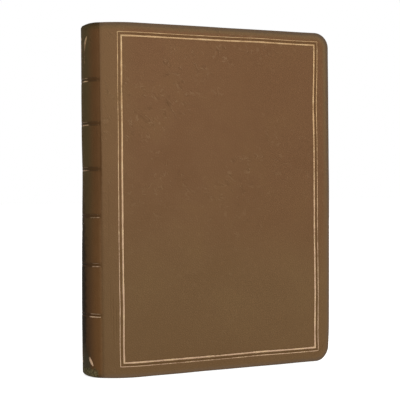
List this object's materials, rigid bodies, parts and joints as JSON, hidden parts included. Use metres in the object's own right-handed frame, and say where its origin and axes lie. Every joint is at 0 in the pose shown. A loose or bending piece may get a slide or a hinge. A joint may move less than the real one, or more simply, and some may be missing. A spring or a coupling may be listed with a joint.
{
  "type": "antique leather book",
  "caption": "Small octavo book in soft brown leather with a rounded spine, gilt double-line frames, gilt spine rules and hinged covers.",
  "frame": {"origin": "centre of the base, on the surface that the book's tail stands on", "axes": "+Z from tail to head, +X from the spine to the fore-edge, +Y from the front cover to the back cover"},
  "size_m": [0.1272, 0.03, 0.171],
  "materials": {
    "leather": "soft matt calf, lightly grained and handled",
    "gilt": "gold leaf, rubbed soft",
    "board": "thin millboard",
    "card": "thin card, pared at its edges",
    "kraft_paper": "brown kraft paper",
    "page_paper": "aged book paper, trimmed edges",
    "endpaper": "plain laid paper, aged",
    "linen_tape": "unbleached linen tape",
    "mull": "open-weave cotton, stiffened with glue",
    "silk": "silk thread over a cord core"
  },
  "bodies": {
    "pages_and_spine": {"text_block": "page_paper", "front_flyleaf": "endpaper", "back_flyleaf": "endpaper", "sewing_tapes": "linen_tape", "spine_mull": "mull", "hollow_tube": "kraft_paper", "spine_stiffener": "card", "head_band": "silk", "tail_band": "silk", "spine_leather": "leather", "spine_rules": "gilt", "head_ornament": "gilt", "tail_ornament": "gilt"},
    "front_cover": {"front_board": "board", "front_infill": "card", "front_leather": "leather", "front_pastedown": "endpaper", "front_outer_fillet": "gilt", "front_inner_fillet": "gilt"},
    "back_cover": {"back_board": "board", "back_infill": "card", "back_leather": "leather", "back_pastedown": "endpaper", "back_outer_fillet": "gilt", "back_inner_fillet": "gilt"}
  },
  "joints": [
    {"name": "front_cover_hinge", "type": "hinge", "parent": "pages_and_spine", "child": "front_cover", "pos_m": [-0.05694, -0.0106, 0.0855], "axis": [0, 0, -1], "range_deg": [0, 170]},
    {"name": "back_cover_hinge", "type": "hinge", "parent": "pages_and_spine", "child": "back_cover", "pos_m": [-0.05694, 0.0106, 0.0855], "axis": [0, 0, 1], "range_deg": [0, 170]}
  ]
}
